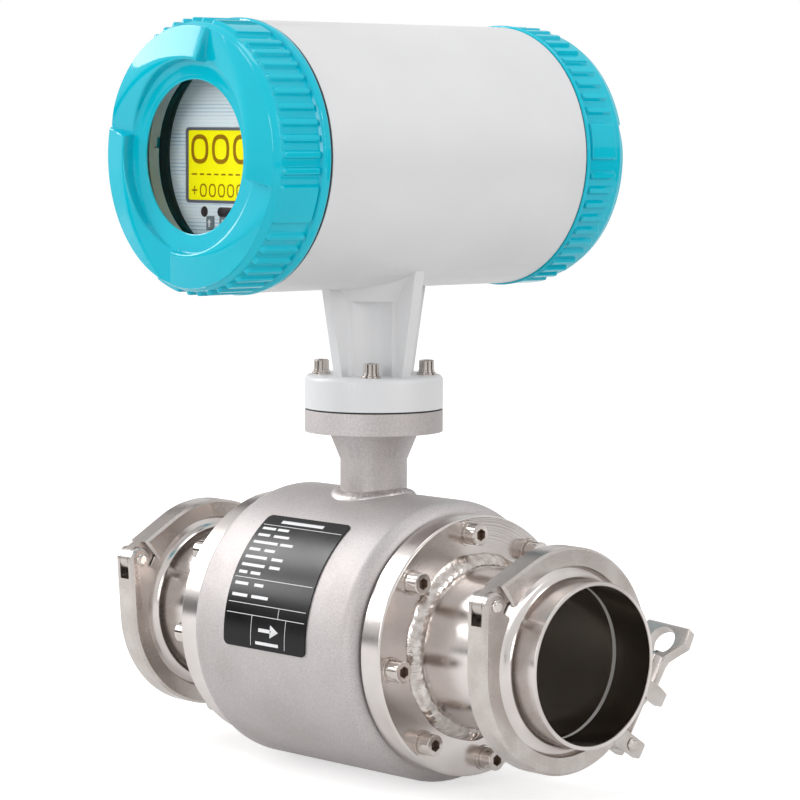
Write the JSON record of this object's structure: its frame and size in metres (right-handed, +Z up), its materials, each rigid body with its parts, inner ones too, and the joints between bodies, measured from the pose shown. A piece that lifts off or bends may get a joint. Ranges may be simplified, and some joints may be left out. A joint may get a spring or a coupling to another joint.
{
  "type": "electromagnetic flow meter",
  "caption": "Flow meter for sanitary pipework: lined steel measuring tube with clamped ferrule ends, finned neck and a round converter with a windowed display cover.",
  "frame": {"origin": "centre of the measuring tube, on the flow axis", "axes": "+X with the flow, from inlet to outlet; the display looks along -Y; +Z up from the pipe to the converter"},
  "size_m": [0.297, 0.2276, 0.3567],
  "materials": {
    "satin_steel": "bead blasted, matte",
    "turned_steel": "turned and polished",
    "cast_steel": "cast, satin polished",
    "weld": "bright weld ripple",
    "fasteners": "polished stainless steel",
    "grey_paint": "smooth light grey paint",
    "cyan_paint": "gloss cyan paint",
    "black_rubber": "matte",
    "white_seal": "matte",
    "ptfe": "waxy white",
    "window_glass": "clear",
    "black_plastic": "matte",
    "face_film": "printed film with fine lines",
    "lcd": "lit yellow-green screen",
    "key_cap": "grey with white arrows",
    "circuit_board": "green lacquer",
    "copper": "lacquered copper winding",
    "soft_iron": "plain",
    "label": "black with plain white lines"
  },
  "bodies": {
    "meter": {"measuring_tube": "turned_steel", "liner": "ptfe", "sensor_housing": "satin_steel", "coil_upper": "copper", "coil_lower": "copper", "pole_shoes": "soft_iron", "yoke_band": "soft_iron", "electrodes": "fasteners", "electrode_bushes": "ptfe", "data_plate": "label", "flange_screws": "fasteners", "flange_flat_washers": "fasteners", "flange_spring_washers": "fasteners", "sensor_neck": "satin_steel", "neck_weld": "weld", "neck_gasket": "black_rubber", "neck_washers": "fasteners", "neck_screws": "fasteners", "converter_housing": "grey_paint", "display_bezel": "black_plastic", "face_plate": "face_film", "lcd_module": "lcd", "main_board": "circuit_board", "power_board": "circuit_board", "terminal_block": "black_plastic", "cable_glands": "black_plastic", "gland_nuts": "black_plastic", "inlet_flange": "turned_steel", "inlet_spool": "turned_steel", "inlet_weld": "weld", "inlet_gasket": "white_seal", "inlet_weld_ferrule": "turned_steel", "inlet_clamp_upper": "cast_steel", "inlet_clamp_lower": "cast_steel", "inlet_hinge_pin": "fasteners", "inlet_pivot_pin": "fasteners", "outlet_flange": "turned_steel", "outlet_spool": "turned_steel", "outlet_weld": "weld", "outlet_gasket": "white_seal", "outlet_weld_ferrule": "turned_steel", "outlet_clamp_upper": "cast_steel", "outlet_clamp_lower": "cast_steel", "outlet_hinge_pin": "fasteners", "outlet_pivot_pin": "fasteners"},
    "front_cover": {"front_cover": "cyan_paint", "front_glass": "window_glass", "glass_seal": "black_rubber", "glass_retainer": "turned_steel"},
    "front_carrier": {"front_gasket": "black_rubber"},
    "rear_cover": {"rear_cover": "cyan_paint"},
    "rear_carrier": {"rear_gasket": "black_rubber"},
    "key_1": {"key_1": "key_cap"},
    "key_2": {"key_2": "key_cap"},
    "key_3": {"key_3": "key_cap"},
    "key_4": {"key_4": "key_cap"},
    "inlet_bolt": {"inlet_swing_bolt": "fasteners"},
    "inlet_nut": {"inlet_wing_nut": "cast_steel"},
    "outlet_bolt": {"outlet_swing_bolt": "fasteners"},
    "outlet_nut": {"outlet_wing_nut": "cast_steel"}
  },
  "joints": [
    {"name": "front_cover_travel", "type": "slide", "parent": "meter", "child": "front_carrier", "axis": [0, -1, 0], "range_m": [0, 0.0125]},
    {"name": "front_cover_turn", "type": "hinge", "parent": "front_carrier", "child": "front_cover", "pos_m": [0, 0, 0.22645], "axis": [0, -1, 0], "range_deg": [0, 2160]},
    {"name": "rear_cover_travel", "type": "slide", "parent": "meter", "child": "rear_carrier", "axis": [0, 1, 0], "range_m": [0, 0.0125]},
    {"name": "rear_cover_turn", "type": "hinge", "parent": "rear_carrier", "child": "rear_cover", "pos_m": [0, 0, 0.22645], "axis": [0, 1, 0], "range_deg": [0, 2160]},
    {"name": "key_1_press", "type": "slide", "parent": "meter", "child": "key_1", "axis": [0, 1, 0], "range_m": [0, 0.0008], "stiffness_N_per_m": 1500, "springref_m": -0.0002},
    {"name": "key_2_press", "type": "slide", "parent": "meter", "child": "key_2", "axis": [0, 1, 0], "range_m": [0, 0.0008], "stiffness_N_per_m": 1500, "springref_m": -0.0002},
    {"name": "key_3_press", "type": "slide", "parent": "meter", "child": "key_3", "axis": [0, 1, 0], "range_m": [0, 0.0008], "stiffness_N_per_m": 1500, "springref_m": -0.0002},
    {"name": "key_4_press", "type": "slide", "parent": "meter", "child": "key_4", "axis": [0, 1, 0], "range_m": [0, 0.0008], "stiffness_N_per_m": 1500, "springref_m": -0.0002},
    {"name": "inlet_bolt_swing", "type": "hinge", "parent": "meter", "child": "inlet_bolt", "pos_m": [-0.126, 0.04492, -0.03906], "axis": [-1, 0, 0], "range_deg": [0, 75]},
    {"name": "inlet_wing_nut_turn", "type": "hinge", "parent": "inlet_bolt", "child": "inlet_nut", "pos_m": [-0.126, 0.04492, -0.03906], "axis": [0, 0.4695, 0.8829], "range_deg": [0, 720]},
    {"name": "outlet_bolt_swing", "type": "hinge", "parent": "meter", "child": "outlet_bolt", "pos_m": [0.126, 0.04134, -0.04283], "axis": [-1, 0, 0], "range_deg": [0, 75]},
    {"name": "outlet_wing_nut_turn", "type": "hinge", "parent": "outlet_bolt", "child": "outlet_nut", "pos_m": [0.126, 0.04134, -0.04283], "axis": [0, 0.5446, 0.8387], "range_deg": [0, 720]}
  ],
  "couplings": [
    {"joint": "front_cover_travel", "follows": "front_cover_turn", "m_per_rad": 0.00031831},
    {"joint": "rear_cover_travel", "follows": "rear_cover_turn", "m_per_rad": 0.00031831}
  ]
}
